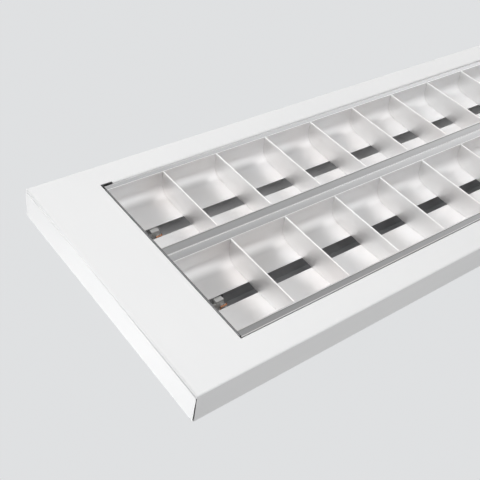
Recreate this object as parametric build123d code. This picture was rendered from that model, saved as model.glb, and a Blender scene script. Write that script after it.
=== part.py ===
from build123d import *
import os
from math import atan, cos, radians, sin, sqrt, tan

os.makedirs("parts", exist_ok=True)

# All sizes are in millimetres. The light face looks down, along -Z, and the
# middle of the flat top of the back pan is the origin. X runs along the lamps.

# Faces of small round parts, the room round a piece in its seat, and how far a
# cut runs past the surface that it opens
hex_sides = 6
screw_sides = 10
round_sides = 24
fit_gap = 0.05
screw_clearance = 0.2
cut_past = 1.0

# Whole fixture
length = 1360.0
width = 305.0
frame_height = 37.0
pan_rise = 26.0

# Sheet-steel front frame
sheet = 1.0
bend_radius = 2.0
end_margin = 69.7
side_margin = 31.75
back_flange = 12.0
window_flange = 8.0
window_flange_stop = 14.0
seam_narrow = 0.5
seam_wide = 1.5
seam_start = 3.0
relief_hole_radius = 0.9
relief_hole_height = 5.0

# Back pan
pan_sheet = 1.0
pan_edge_gap = 1.5
pan_brim = 18.0
pan_side_angle = 40.0
pan_corner_cut = 18.0
ceiling_hole_radius = 3.25
ceiling_hole_end_inset = 180.0
ceiling_hole_spacing_y = 120.0

# Screws that hold the pan to the frame
frame_screw_radius = 1.9
frame_screw_head_radius = 4.0
frame_screw_head = 2.2
frame_screw_reach = 6.0
frame_screw_inset = 6.5
frame_screws_per_side = 3

# Louvre: bands, side reflectors and lamp slots
louvre_side_gap = 1.15
louvre_end_gap = 1.7
louvre_sheet = 0.5
outer_band = 7.95
inner_band = 11.35
band_recess = 1.0
rim_hem = 1.1
skirt_top = 8.0
skirt_gap = 0.05
skirt_bend = 0.9
wall_lean = 5.5
haunch_radius = 8.0
roof_lean = 2.6
roof_height = 28.2
slot_width = 16.2
slot_shift = 4.2
reflector_end_gap = 0.2

# Louvre: V-folded cross blades
cells = 17
end_cell_shortening = 2.0
blade_base_half = 2.4
blade_nose_half = 0.9
blade_bridge_low = 9.5
blade_bridge_high = 16.5
blade_tab_reach = 3.0
blade_clearance = 0.15

# Louvre: end plates and rivets
end_plate_sheet = 0.6
end_plate_lip = 8.0
end_plate_tab = 12.0
end_plate_top_gap = 0.1
rivet_radius = 1.2
rivet_hole_gap = 0.05
rivet_head_radius = 2.0
rivet_head = 0.6
rivet_height = 4.8
rivet_end_inset = 8.0
divider_rivets = 5
rivet_sides = 8

# Hinge of the louvre
pin_radius = 1.25
pin_running_gap = 0.05
pin_head_radius = 1.7
pin_head = 0.8
pin_tip_chamfer = 0.3
pin_reach = 6.0
hinge_inset = 3.1
lug_web = 1.0
lug_sheet = 1.5
lug_gap = 1.0
lug_half_width = 5.0
lug_top_wall = 2.2
lug_foot = 9.0

# Spring clips along the free edge of the louvre
clip_sheet = 0.4
clip_grip_gap = 0.4
clip_hook_gap = 0.1
clip_width = 14.0
clip_leg = 4.5
clip_end_inset = 118.0
clips = 4

# Lampholders
lamp_axis_height = 40.0
holder_inset = 105.5
holder_thickness = 12.0
holder_width = 20.0
holder_tip = 8.0
holder_foot = 2.0
holder_foot_length = 18.0
holder_foot_width = 26.0
rotor_radius = 6.0
rotor_depth = 4.0
rotor_running_gap = 0.05
rotor_slot = 2.4
rotor_slot_depth = 2.8
entry_slot = 2.8
contact_sheet = 0.5
contact_width = 4.0
contact_height = 11.0
contact_spacing = 9.0
contact_curl = 3.0

# Control gear and its cover, terminals, earth point and cable grommet
ballast_length = 360.0
ballast_width = 30.0
ballast_height = 21.0
ballast_start = 10.0
ballast_ear = 11.0
ballast_ear_sheet = 1.2
ballast_screw_radius = 1.9
ballast_screw_head_radius = 3.6
ballast_screw_head = 2.0
connector_length = 24.0
connector_width = 22.0
connector_height = 9.0
connector_pitch = 3.5
connector_poles = 5
connector_port = 2.0
connector_hole_depth = 8.0
terminal_gap = 179.0
terminal_pitch = 8.0
terminal_poles = 3
terminal_width = 18.0
terminal_height = 13.0
terminal_port = 3.4
terminal_screw_radius = 1.6
terminal_screw_depth = 5.0
terminal_screw_spacing = 9.0
earth_gap = 119.0
earth_stud_radius = 2.0
earth_stud_length = 12.0
earth_nut_width = 7.0
earth_nut_height = 3.2
earth_washer_radius = 4.5
earth_washer = 0.8
cover_sheet = 0.8
cover_half_width = 36.0
cover_depth = 26.0
cover_flange = 9.0
cover_end_gap = 15.0
cover_screw_inset = 60.0
cover_screw_radius = 1.9
cover_screw_head_radius = 3.6
cover_screw_head = 2.0
grommet_gap = 259.0
grommet_hole_radius = 9.0
grommet_bore_radius = 5.0
grommet_flange_radius = 12.0
grommet_flange = 1.6
dimple_radius = 16.0
dimple_depth = 2.0

# Heights and half sizes that follow from the sizes above
face_z = -(frame_height + pan_sheet + pan_rise)
frame_back_z = face_z + frame_height
brim_top_z = frame_back_z + pan_sheet
pan_inside_z = -pan_sheet
lamp_axis_z = face_z + lamp_axis_height
window_half_length = length / 2 - end_margin
window_half_width = width / 2 - side_margin
louvre_half_length = window_half_length - louvre_end_gap
louvre_half_width = window_half_width - louvre_side_gap
plate_inner_x = louvre_half_length - end_plate_sheet
reflector_half_length = plate_inner_x - reflector_end_gap
rim_half = (louvre_half_width - outer_band - inner_band) / 2
row_centre = inner_band + rim_half
lamp_line = row_centre - slot_shift
blade_pitch = 2 * (plate_inner_x + end_cell_shortening) / cells
hinge_y = louvre_half_width - hinge_inset
hinge_z = face_z + sheet + lug_web + pin_radius + pin_running_gap
pan_half_length = length / 2 - pan_edge_gap
pan_half_width = width / 2 - pan_edge_gap
plate_top = roof_height + louvre_sheet + end_plate_top_gap
holder_face = length / 2 - holder_inset
cover_half_length = holder_face - cover_end_gap
ceiling_hole_x = length / 2 - ceiling_hole_end_inset
ballast_centre = ballast_start + ballast_length / 2
gear_end = ballast_start - ballast_ear
earth_centre = gear_end - earth_gap
terminal_centre = gear_end - terminal_gap
grommet_centre = gear_end - grommet_gap

ends = (1, -1)
sides = (1, -1)


def box_between(x0, x1, y0, y1, z0, z1):
    centre = ((x0 + x1) / 2, (y0 + y1) / 2, (z0 + z1) / 2)
    return Pos(*centre) * Box(abs(x1 - x0), abs(y1 - y0), abs(z1 - z0))


def upright_cylinder(x, y, z0, z1, radius):
    return Pos(x, y, (z0 + z1) / 2) * Cylinder(radius, z1 - z0)


def cylinder_along_x(x0, x1, y, z, radius):
    return Pos((x0 + x1) / 2, y, z) * Rot(0, 90, 0) * Cylinder(radius, abs(x1 - x0))


def save(node, shape):
    shape.label = node
    export_step(shape, f"parts/{node}.step")


def prism(x, y, z0, z1, radius, count):
    # A small round form, with few sides.
    return Pos(x, y, z0) * extrude(RegularPolygon(radius, count), z1 - z0)


def prism_along_x(x0, x1, y, z, radius, count):
    return Pos(x0, y, z) * Rot(0, 90, 0) * extrude(RegularPolygon(radius, count), x1 - x0)


def around(radius, count):
    # The corner radius of a hole with flat sides that clears a round form of this radius.
    return radius / cos(radians(180 / count))


def folds(block):
    return block.edges().filter_by(Axis.X) + block.edges().filter_by(Axis.Y)


# Front frame

def frame_shell():
    outer = box_between(-length / 2, length / 2, -width / 2, width / 2, face_z, frame_back_z)
    outer = fillet(folds(outer), bend_radius)
    inner = box_between(
        -length / 2 + sheet, length / 2 - sheet,
        -width / 2 + sheet, width / 2 - sheet,
        face_z + sheet, frame_back_z - sheet,
    )
    inner = fillet(folds(inner), bend_radius - sheet)
    return outer - inner


def window_flange_profile():
    # The bend and the upright of the return flange, drawn on the far side.
    edge = window_half_width
    with BuildSketch(Plane.YZ) as profile:
        with BuildLine():
            Polyline((edge + bend_radius, face_z), (edge + bend_radius, face_z + sheet))
            RadiusArc(
                (edge + bend_radius, face_z + sheet),
                (edge + sheet, face_z + bend_radius),
                bend_radius - sheet,
            )
            Polyline(
                (edge + sheet, face_z + bend_radius),
                (edge + sheet, face_z + window_flange),
                (edge, face_z + window_flange),
                (edge, face_z + bend_radius),
            )
            RadiusArc((edge, face_z + bend_radius), (edge + bend_radius, face_z), -bend_radius)
        make_face()
    return profile.sketch


def corner_seam(end, side):
    # An open wedge down the folded corner, with a round relief hole near the face.
    corner = Plane(
        origin=(end * length / 2, side * width / 2, 0),
        x_dir=(-side, end, 0),
        z_dir=(end, side, 0),
    )
    start_z = face_z + seam_start
    wedge = corner * Polygon(
        (-seam_narrow / 2, start_z),
        (seam_narrow / 2, start_z),
        (seam_wide / 2, frame_back_z + sheet),
        (-seam_wide / 2, frame_back_z + sheet),
        align=None,
    )
    seam = extrude(wedge, bend_radius + sheet, both=True)
    mitre = corner * Pos(0, frame_back_z) * Rectangle(seam_wide, 4 * sheet)
    seam += extrude(mitre, 2 * back_flange, both=True)
    hole = corner * Pos(0, face_z + relief_hole_height) * RegularPolygon(relief_hole_radius, screw_sides)
    return seam + extrude(hole, bend_radius + sheet, both=True)


def frame_screw_places():
    places = []
    y = width / 2 - frame_screw_inset
    half_run = length / 2 - end_margin
    step = 2 * half_run / (frame_screws_per_side - 1)
    for index in range(frame_screws_per_side):
        x = -half_run + index * step
        for side in sides:
            places.append((x, side * y))
    for end in ends:
        places.append((end * (length / 2 - frame_screw_inset), 0))
    return places


def front_frame():
    frame = frame_shell()
    cut_half = window_half_width + bend_radius
    frame -= box_between(
        -window_half_length, window_half_length, -cut_half, cut_half,
        face_z - sheet, face_z + 2 * sheet,
    )
    opening_x = length / 2 - back_flange
    opening_y = width / 2 - back_flange
    frame -= box_between(
        -opening_x, opening_x, -opening_y, opening_y, frame_back_z - 2 * sheet, frame_back_z + sheet
    )
    flange_half = window_half_length - window_flange_stop
    flange = extrude(window_flange_profile(), flange_half, both=True)
    frame += flange
    frame += mirror(flange, Plane.XZ)
    for end in ends:
        for side in sides:
            frame -= corner_seam(end, side)
    hole = around(frame_screw_radius + screw_clearance, screw_sides)
    for x, y in frame_screw_places():
        frame -= prism(x, y, frame_back_z - 2 * sheet, frame_back_z + sheet, hole, screw_sides)
    return frame


# Back pan

def pan_block(inset, base_z):
    # The tapered hump of the pan with its cut corners, drawn in by inset from its outer skin.
    drawn_in = pan_brim + inset
    base = Rectangle(2 * (pan_half_length - drawn_in), 2 * (pan_half_width - drawn_in))
    base = chamfer(base.vertices(), pan_corner_cut - (2 - sqrt(2)) * inset)
    return extrude(Pos(0, 0, base_z) * base, pan_rise, taper=pan_side_angle)


def back_pan():
    skew = pan_sheet / cos(radians(pan_side_angle)) - pan_sheet * tan(radians(pan_side_angle))
    outer = pan_block(0, brim_top_z)
    inner = pan_block(skew, brim_top_z - pan_sheet)
    brim = box_between(
        -pan_half_length, pan_half_length, -pan_half_width, pan_half_width, frame_back_z, brim_top_z
    )
    pan = brim + outer - inner
    x = grommet_centre
    dimple_low = -dimple_depth - pan_sheet
    pan += prism(x, 0, dimple_low, -pan_sheet, dimple_radius + pan_sheet, round_sides)
    pan -= prism(x, 0, -dimple_depth, pan_sheet, dimple_radius, round_sides)
    pan -= prism(x, 0, dimple_low - pan_sheet, pan_sheet, grommet_hole_radius, round_sides)
    for end in ends:
        for side in sides:
            x = end * ceiling_hole_x
            y = side * ceiling_hole_spacing_y / 2
            pan -= upright_cylinder(x, y, -2 * pan_sheet, pan_sheet, ceiling_hole_radius)
    hole = around(frame_screw_radius + screw_clearance, screw_sides)
    for x, y in frame_screw_places():
        pan -= prism(x, y, frame_back_z - pan_sheet, brim_top_z + pan_sheet, hole, screw_sides)
    return pan


def frame_screws():
    screws = []
    for x, y in frame_screw_places():
        seat = brim_top_z
        shank = prism(x, y, seat - frame_screw_reach, seat, frame_screw_radius, screw_sides)
        head = prism(x, y, seat, seat + frame_screw_head, frame_screw_head_radius, hex_sides)
        screws.append(shank + head)
    return Compound(children=screws)


# Side reflectors

def wall_points(outset):
    # The reflector curve, moved outwards by outset: a leaning wall, a round haunch and
    # a nearly level roof up to the middle of the row. Distances run from the middle of
    # the row and heights from the light face.
    wall = radians(wall_lean)
    roof = radians(roof_lean)
    reach = rim_half + outset / cos(wall)
    roof_at_centre = roof_height + outset / cos(roof)
    corner_height = (roof_at_centre - reach * tan(roof)) / (1 - tan(wall) * tan(roof))
    corner = (reach - corner_height * tan(wall), corner_height)
    turn = radians(90) - wall - roof
    tangent = (haunch_radius + outset) * tan(turn / 2)
    haunch_start = (corner[0] + tangent * sin(wall), corner[1] - tangent * cos(wall))
    haunch_end = (corner[0] - tangent * cos(roof), corner[1] + tangent * sin(roof))
    return (reach, 0), haunch_start, haunch_end, (0, roof_at_centre)


def haunch_middle(start, radius):
    # The point halfway round the haunch.
    wall = radians(wall_lean)
    half_turn = (radians(90) - wall - radians(roof_lean)) / 2
    centre = (start[0] - radius * cos(wall), start[1] - radius * sin(wall))
    angle = wall + half_turn
    return (centre[0] + radius * cos(angle), centre[1] + radius * sin(angle))


def reflector_section(slot_edge):
    # The sheet from its rim to the edge of the lamp slot.
    rim, start, end, apex = wall_points(0)
    back_rim, back_start, back_end, back_apex = wall_points(louvre_sheet)
    fall = slot_edge * tan(radians(roof_lean))
    slot = (slot_edge, apex[1] - fall)
    back_slot = (slot_edge, back_apex[1] - fall)
    outline = [
        Line(rim, start),
        ThreePointArc(start, haunch_middle(start, haunch_radius), end),
        Line(end, slot),
        Line(slot, back_slot),
        Line(back_slot, back_end),
        ThreePointArc(back_end, haunch_middle(back_start, haunch_radius + louvre_sheet), back_start),
        Line(back_start, back_rim),
        Line(back_rim, rim),
    ]
    return make_face(outline)


def flange_section(band):
    low = band_recess
    high = band_recess + louvre_sheet
    hem = Pos(rim_half + rim_hem / 2, high / 2) * Rectangle(rim_hem, high)
    edge = rim_half + band
    inside = edge - louvre_sheet
    flat_end = edge - skirt_bend
    bend_top = low + skirt_bend
    slant = skirt_bend * (1 - cos(radians(45)))
    slant_inside = (skirt_bend - louvre_sheet) * (1 - cos(radians(45)))
    outline = [
        Line((rim_half, low), (flat_end, low)),
        ThreePointArc((flat_end, low), (edge - slant, low + slant), (edge, bend_top)),
        Line((edge, bend_top), (edge, skirt_top)),
        Line((edge, skirt_top), (inside, skirt_top)),
        Line((inside, skirt_top), (inside, bend_top)),
        ThreePointArc(
            (inside, bend_top), (inside - slant_inside, high + slant_inside), (flat_end, high)
        ),
        Line((flat_end, high), (rim_half, high)),
        Line((rim_half, high), (rim_half, low)),
    ]
    return hem + make_face(outline)


def blade_slots():
    slots = []
    for index in range(cells - 1):
        tool = blade_wedge(blade_clearance)
        reach = louvre_half_width
        tool &= box_between(
            -blade_base_half * 2, blade_base_half * 2, -reach, reach,
            face_z + blade_bridge_low - blade_clearance, face_z + blade_bridge_high + blade_clearance,
        )
        slots.append(Pos(blade_x(index), 0, 0) * tool)
    return slots


def side_reflector(side, outer):
    # The slot lies a little nearer the divider than the middle of the row.
    if outer:
        section = reflector_section(slot_width / 2 - slot_shift) + flange_section(outer_band)
    else:
        section = reflector_section(slot_width / 2 + slot_shift) + flange_section(inner_band - skirt_gap)
    if not outer:
        section = mirror(section, Plane.YZ)
    section = Plane.YZ * Pos(row_centre, face_z) * section
    reflector = extrude(section, reflector_half_length, both=True)
    reflector -= blade_slots()
    if outer:
        for end in ends:
            reflector -= rivet_hole(end * rivet_x(), louvre_half_width - louvre_sheet)
    else:
        for x in divider_rivet_places():
            reflector -= rivet_hole(x, 0)
    if side < 0:
        reflector = mirror(reflector, Plane.XZ)
    return reflector


# Cross blades

def blade_x(index):
    return (index - (cells - 2) / 2) * blade_pitch


def blade_wedge(outset):
    # The outer V of a blade, from its blunt nose at the light face to its base.
    nose = blade_nose_half + outset
    base = blade_base_half + outset
    section = Plane.XZ * Polygon(
        (-nose / 2, face_z - outset),
        (nose / 2, face_z - outset),
        (nose, face_z + nose / 2),
        (base, face_z + roof_height + outset),
        (-base, face_z + roof_height + outset),
        (-nose, face_z + nose / 2),
        align=None,
    )
    return extrude(section, louvre_half_width, both=True)


def blade_hollow():
    lean = atan((blade_base_half - blade_nose_half) / (roof_height - blade_nose_half))
    wall = louvre_sheet / cos(lean)
    low = face_z + blade_nose_half + louvre_sheet
    high = face_z + roof_height
    section = Plane.XZ * Polygon(
        (-(blade_nose_half - wall), low),
        (blade_nose_half - wall, low),
        (blade_base_half - wall, high),
        (-(blade_base_half - wall), high),
        align=None,
    )
    return extrude(section, louvre_half_width, both=True)


def row_region():
    # What a blade fills between the two reflectors of one row, cut along chords of the haunch.
    rim, start, end, apex = wall_points(-blade_clearance)
    middle = haunch_middle(start, haunch_radius - blade_clearance)
    right = [rim, start, middle, end]
    left = [(-x, y) for x, y in reversed(right)]
    return Polygon(*(right + [apex] + left), align=None)


def blade_outline():
    region = row_region()
    wall_outside = row_centre + rim_half + louvre_sheet - blade_bridge_low * tan(radians(wall_lean))
    reach = wall_outside + blade_tab_reach
    bridge_height = blade_bridge_high - blade_bridge_low
    bridge = Pos(0, (blade_bridge_low + blade_bridge_high) / 2) * Rectangle(2 * reach, bridge_height)
    outline = Pos(row_centre, 0) * region + Pos(-row_centre, 0) * region + bridge
    return extrude(Plane.YZ * Pos(0, face_z) * outline, 2 * blade_base_half, both=True)


def cross_blade():
    return (blade_wedge(0) - blade_hollow()) & blade_outline()


# End plates, rivets and hinge

def rivet_x():
    return plate_inner_x - rivet_end_inset


def divider_rivet_places():
    # Midway between blades, so no rivet meets a blade.
    places = []
    half_count = (divider_rivets - 1) // 2
    for index in range(-half_count, half_count + 1):
        places.append(2 * index * blade_pitch)
    return places


def end_plate(end):
    inside = plate_inner_x
    outside = louvre_half_length
    reach = louvre_half_width - louvre_sheet
    plate = box_between(inside, outside, -reach, reach, face_z, face_z + plate_top + end_plate_sheet)
    plate += box_between(
        inside - end_plate_lip, outside, -reach + outer_band, reach - outer_band,
        face_z + plate_top, face_z + plate_top + end_plate_sheet,
    )
    for side in sides:
        tab = box_between(
            inside - end_plate_tab, outside,
            side * (reach - end_plate_sheet), side * reach,
            face_z + band_recess + 2 * louvre_sheet, face_z + skirt_top,
        )
        plate += tab - rivet_hole(rivet_x(), side * reach)
    plate -= cylinder_along_x(
        inside - end_plate_sheet, outside + end_plate_sheet, hinge_y, hinge_z,
        pin_radius + pin_running_gap / 2,
    )
    if end < 0:
        plate = mirror(plate, Plane.YZ)
    return plate


def across(x):
    # Turns a form that was made upright to lie along Y at the height of the rivets.
    return Pos(x, 0, face_z + rivet_height) * Rot(-90, 0, 0)


def rivet_hole(x, y):
    hole = around(rivet_radius + rivet_hole_gap, rivet_sides)
    return across(x) * prism(0, 0, y - cut_past, y + cut_past, hole, rivet_sides)


def rivet_across(x, y_low, y_high):
    rivet = prism(0, 0, y_low, y_high, rivet_radius, rivet_sides)
    rivet += prism(0, 0, y_low - rivet_head, y_low, rivet_head_radius, rivet_sides)
    rivet += prism(0, 0, y_high, y_high + rivet_head, rivet_head_radius, rivet_sides)
    return across(x) * rivet


def louvre_rivets():
    rivets = []
    for x in divider_rivet_places():
        half = skirt_gap + louvre_sheet
        rivets.append(rivet_across(x, -half, half))
    inner = louvre_half_width - louvre_sheet - end_plate_sheet
    for end in ends:
        rivets.append(rivet_across(end * rivet_x(), inner, louvre_half_width))
        rivets.append(rivet_across(end * rivet_x(), -louvre_half_width, -inner))
    return Compound(children=rivets)


def hinge_pin(end):
    tip = louvre_half_length + pin_reach
    pin = prism_along_x(plate_inner_x, tip, hinge_y, hinge_z, pin_radius, round_sides)
    pin = chamfer(pin.faces().sort_by(Axis.X)[-1].edges(), pin_tip_chamfer)
    head_low = plate_inner_x - pin_head
    pin += prism_along_x(head_low, plate_inner_x, hinge_y, hinge_z, pin_head_radius, round_sides)
    if end < 0:
        pin = mirror(pin, Plane.YZ)
    return pin


def hinge_lug(end):
    floor_z = face_z + sheet
    near = window_half_length + lug_gap
    top = hinge_z + pin_radius + lug_top_wall
    lug = box_between(
        near, near + lug_sheet, hinge_y - lug_half_width, hinge_y + lug_half_width, floor_z, top
    )
    upper_corners = lug.edges().filter_by(Axis.X).group_by(Axis.Z)[-1]
    lug = fillet(upper_corners, lug_half_width / 2)
    lug += box_between(
        near, near + lug_sheet + lug_foot, hinge_y - lug_half_width, hinge_y + lug_half_width,
        floor_z, floor_z + sheet,
    )
    lug -= cylinder_along_x(
        near - sheet, near + lug_sheet + sheet, hinge_y, hinge_z, pin_radius + pin_running_gap
    )
    if end < 0:
        lug = mirror(lug, Plane.YZ)
    return lug


def spring_clip(x):
    # An inverted U that hooks over the window flange and grips the louvre's skirt.
    hook = window_half_width + sheet + clip_hook_gap
    grip = louvre_half_width - louvre_sheet - clip_grip_gap
    under = face_z + window_flange + clip_grip_gap
    left = x - clip_width / 2
    right = x + clip_width / 2
    clip = box_between(left, right, -(hook + clip_sheet), -(grip - clip_sheet), under, under + clip_sheet)
    clip += box_between(left, right, -(hook + clip_sheet), -hook, under - clip_leg, under)
    clip += box_between(left, right, -grip, -(grip - clip_sheet), under - clip_leg, under)
    return clip


# Lampholders

def lampholder(end, side):
    tip_radius = holder_width / 2
    tip_centre = lamp_axis_z - holder_tip + tip_radius
    back = holder_face + holder_thickness
    holder = box_between(
        holder_face, back, -tip_radius, tip_radius, tip_centre, pan_inside_z
    )
    holder += prism_along_x(holder_face, back, 0, tip_centre, tip_radius, round_sides)
    holder += box_between(
        holder_face, holder_face + holder_foot_length,
        -holder_foot_width / 2, holder_foot_width / 2, pan_inside_z - holder_foot, pan_inside_z,
    )
    holder -= prism_along_x(
        holder_face - cut_past, holder_face + rotor_depth + rotor_running_gap, 0, lamp_axis_z,
        around(rotor_radius + rotor_running_gap, round_sides), round_sides,
    )
    holder -= box_between(
        holder_face - cut_past, holder_face + rotor_slot_depth, -entry_slot / 2, entry_slot / 2,
        lamp_axis_z - holder_tip - cut_past, lamp_axis_z,
    )
    holder = Pos(0, side * lamp_line, 0) * holder
    if end < 0:
        holder = mirror(holder, Plane.YZ)
    return holder


def lampholder_rotor(end, side):
    rotor = prism_along_x(
        holder_face, holder_face + rotor_depth, 0, lamp_axis_z, rotor_radius, round_sides
    )
    rotor -= box_between(
        holder_face - cut_past, holder_face + rotor_slot_depth, -rotor_slot / 2, rotor_slot / 2,
        lamp_axis_z - 2 * rotor_radius, lamp_axis_z + 2 * rotor_radius,
    )
    rotor = Pos(0, side * lamp_line, 0) * rotor
    if end < 0:
        rotor = mirror(rotor, Plane.YZ)
    return rotor


def holder_contacts(end, side):
    # Two copper leaves behind the holder, each curled out at its lower end.
    back = holder_face + holder_thickness
    low = lamp_axis_z - contact_height / 2
    leaves = []
    for offset in (-contact_spacing / 2, contact_spacing / 2):
        leaf = box_between(
            back, back + contact_sheet, offset - contact_width / 2, offset + contact_width / 2,
            low, low + contact_height,
        )
        leaf += box_between(
            back, back + contact_curl, offset - contact_width / 2, offset + contact_width / 2,
            low, low + contact_sheet,
        )
        leaf = Pos(0, side * lamp_line, 0) * leaf
        if end < 0:
            leaf = mirror(leaf, Plane.YZ)
        leaves.append(leaf)
    return Compound(children=leaves)


# Control gear and terminals

def ballast_ear_places():
    reach = ballast_length / 2 + ballast_ear / 2
    return (ballast_centre - reach, ballast_centre + reach)


def ballast_case():
    top = pan_inside_z
    half_length = ballast_length / 2
    half_width = ballast_width / 2
    case = box_between(
        ballast_centre - half_length, ballast_centre + half_length,
        -half_width, half_width, top - ballast_height, top,
    )
    lower_edges = case.edges().filter_by(Axis.X).group_by(Axis.Z)[0]
    case = fillet(lower_edges, bend_radius)
    case += box_between(
        ballast_centre - half_length - ballast_ear, ballast_centre + half_length + ballast_ear,
        -half_width, half_width, top - ballast_ear_sheet, top,
    )
    hole = around(ballast_screw_radius + screw_clearance, screw_sides)
    for x in ballast_ear_places():
        case -= prism(x, 0, top - 2 * ballast_ear_sheet, top + cut_past, hole, screw_sides)
    for end in ends:
        case -= connector_block(end, 0)
    return case


def ballast_screws():
    screws = []
    seat = pan_inside_z - ballast_ear_sheet
    for x in ballast_ear_places():
        screw = prism(x, 0, seat - ballast_screw_head, seat, ballast_screw_head_radius, hex_sides)
        screw += prism(x, 0, seat, pan_inside_z, ballast_screw_radius, screw_sides)
        screws.append(screw)
    return Compound(children=screws)


def connector_block(end, inset):
    # The pocket for a push-in connector at one end of the ballast, low on its case.
    outer = ballast_centre + end * (ballast_length / 2 - inset)
    inner = outer - end * (connector_length - 2 * inset)
    half = connector_width / 2 - inset
    low = pan_inside_z - ballast_height
    x0, x1 = sorted((outer, inner))
    return box_between(x0, x1, -half, half, low, low + connector_height - inset)


def ballast_connector(end):
    block = connector_block(end, fit_gap)
    x = ballast_centre + end * ballast_length / 2
    low = pan_inside_z - ballast_height
    for index in range(connector_poles):
        y = (index - (connector_poles - 1) / 2) * connector_pitch
        half = connector_port / 2
        middle = low + connector_height / 2
        block -= box_between(
            x - end * connector_hole_depth, x + end * cut_past,
            y - half, y + half, middle - half, middle + half,
        )
    return block


def cover_screw_places():
    half_run = cover_half_length - cover_screw_inset
    reach = cover_half_width + cover_flange / 2
    return [(end * half_run, side * reach) for end in ends for side in sides]


def gear_cover():
    # A long channel over the gear, with flanges turned out against the pan.
    top = pan_inside_z
    low = top - cover_depth
    channel = box_between(
        -cover_half_length, cover_half_length, -cover_half_width, cover_half_width, low, top
    )
    lower_edges = channel.edges().filter_by(Axis.X).group_by(Axis.Z)[0]
    channel = fillet(lower_edges, bend_radius)
    flange_reach = cover_half_width + cover_flange
    channel += box_between(
        -cover_half_length, cover_half_length, -flange_reach, flange_reach, top - cover_sheet, top
    )
    inside = box_between(
        -cover_half_length + cover_sheet, cover_half_length - cover_sheet,
        -cover_half_width + cover_sheet, cover_half_width - cover_sheet,
        low + cover_sheet, top + cover_sheet,
    )
    inner_edges = inside.edges().filter_by(Axis.X).group_by(Axis.Z)[0]
    cover = channel - fillet(inner_edges, bend_radius - cover_sheet)
    hole = around(cover_screw_radius + screw_clearance, screw_sides)
    for x, y in cover_screw_places():
        cover -= prism(x, y, top - 2 * cover_sheet, top + cover_sheet, hole, screw_sides)
    return cover


def cover_screws():
    screws = []
    seat = pan_inside_z - cover_sheet
    for x, y in cover_screw_places():
        screw = prism(x, y, seat - cover_screw_head, seat, cover_screw_head_radius, hex_sides)
        screw += prism(x, y, seat, pan_inside_z, cover_screw_radius, screw_sides)
        screws.append(screw)
    return Compound(children=screws)


def terminal_block():
    block_length = terminal_pitch * terminal_poles
    top = pan_inside_z
    block = box_between(
        terminal_centre - block_length / 2, terminal_centre + block_length / 2,
        -terminal_width / 2, terminal_width / 2, top - terminal_height, top,
    )
    for index in range(terminal_poles):
        x = terminal_centre + (index - (terminal_poles - 1) / 2) * terminal_pitch
        half = terminal_port / 2
        middle = top - terminal_height / 2
        block -= box_between(
            x - half, x + half, -terminal_width, terminal_width, middle - half, middle + half
        )
        for side in sides:
            block -= prism(
                x, side * terminal_screw_spacing / 2, top - terminal_height - cut_past,
                top - terminal_height + terminal_screw_depth, terminal_screw_radius, screw_sides,
            )
    return block


def earth_stud():
    top = pan_inside_z
    return prism(earth_centre, 0, top - earth_stud_length, top, earth_stud_radius, screw_sides)


def earth_nut():
    top = pan_inside_z - earth_washer
    nut_radius = earth_nut_width / 2 / cos(radians(30))
    nut = prism(earth_centre, 0, top - earth_nut_height, top, nut_radius, hex_sides)
    washer = prism(earth_centre, 0, top, pan_inside_z, earth_washer_radius, round_sides)
    bore = prism(
        earth_centre, 0, top - 2 * earth_nut_height, pan_inside_z + cut_past,
        earth_stud_radius + fit_gap, screw_sides,
    )
    return nut + washer - bore


def cable_grommet():
    upper = -dimple_depth
    lower = upper - pan_sheet
    x = grommet_centre
    ring = prism(x, 0, lower, upper, grommet_hole_radius - fit_gap, round_sides)
    ring += prism(x, 0, upper, upper + grommet_flange, grommet_flange_radius, round_sides)
    ring += prism(x, 0, lower - grommet_flange, lower, grommet_flange_radius, round_sides)
    return ring - upright_cylinder(x, 0, lower - 2 * grommet_flange, cut_past, grommet_bore_radius)


def build_all():
    save("front_frame", front_frame())
    save("back_pan", back_pan())
    save("frame_screws", frame_screws())
    for side, row in ((1, "hinge"), (-1, "latch")):
        save(f"{row}_row_outer_reflector", side_reflector(side, True))
        save(f"{row}_row_inner_reflector", side_reflector(side, False))
    blade = cross_blade()
    for index in range(cells - 1):
        save(f"cross_blade_{index + 1:02d}", Pos(blade_x(index), 0, 0) * blade)
    save("louvre_rivets", louvre_rivets())
    for number, end in enumerate(ends, start=1):
        save(f"end_plate_{number}", end_plate(end))
        save(f"hinge_pin_{number}", hinge_pin(end))
        save(f"hinge_lug_{number}", hinge_lug(end))
        save(f"ballast_connector_{number}", ballast_connector(end))
    clip_run = louvre_half_length - clip_end_inset
    for index in range(clips):
        x = -clip_run + 2 * clip_run * index / (clips - 1)
        save(f"spring_clip_{index + 1}", spring_clip(x))
    number = 0
    for end in ends:
        for side in sides:
            number += 1
            save(f"lampholder_{number}", lampholder(end, side))
            save(f"lampholder_rotor_{number}", lampholder_rotor(end, side))
            save(f"holder_contacts_{number}", holder_contacts(end, side))
    save("ballast_case", ballast_case())
    save("ballast_screws", ballast_screws())
    save("gear_cover", gear_cover())
    save("cover_screws", cover_screws())
    save("terminal_block", terminal_block())
    save("earth_stud", earth_stud())
    save("earth_nut", earth_nut())
    save("cable_grommet", cable_grommet())


build_all()
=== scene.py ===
import math
import bmesh
import bpy
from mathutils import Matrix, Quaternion, Vector


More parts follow.
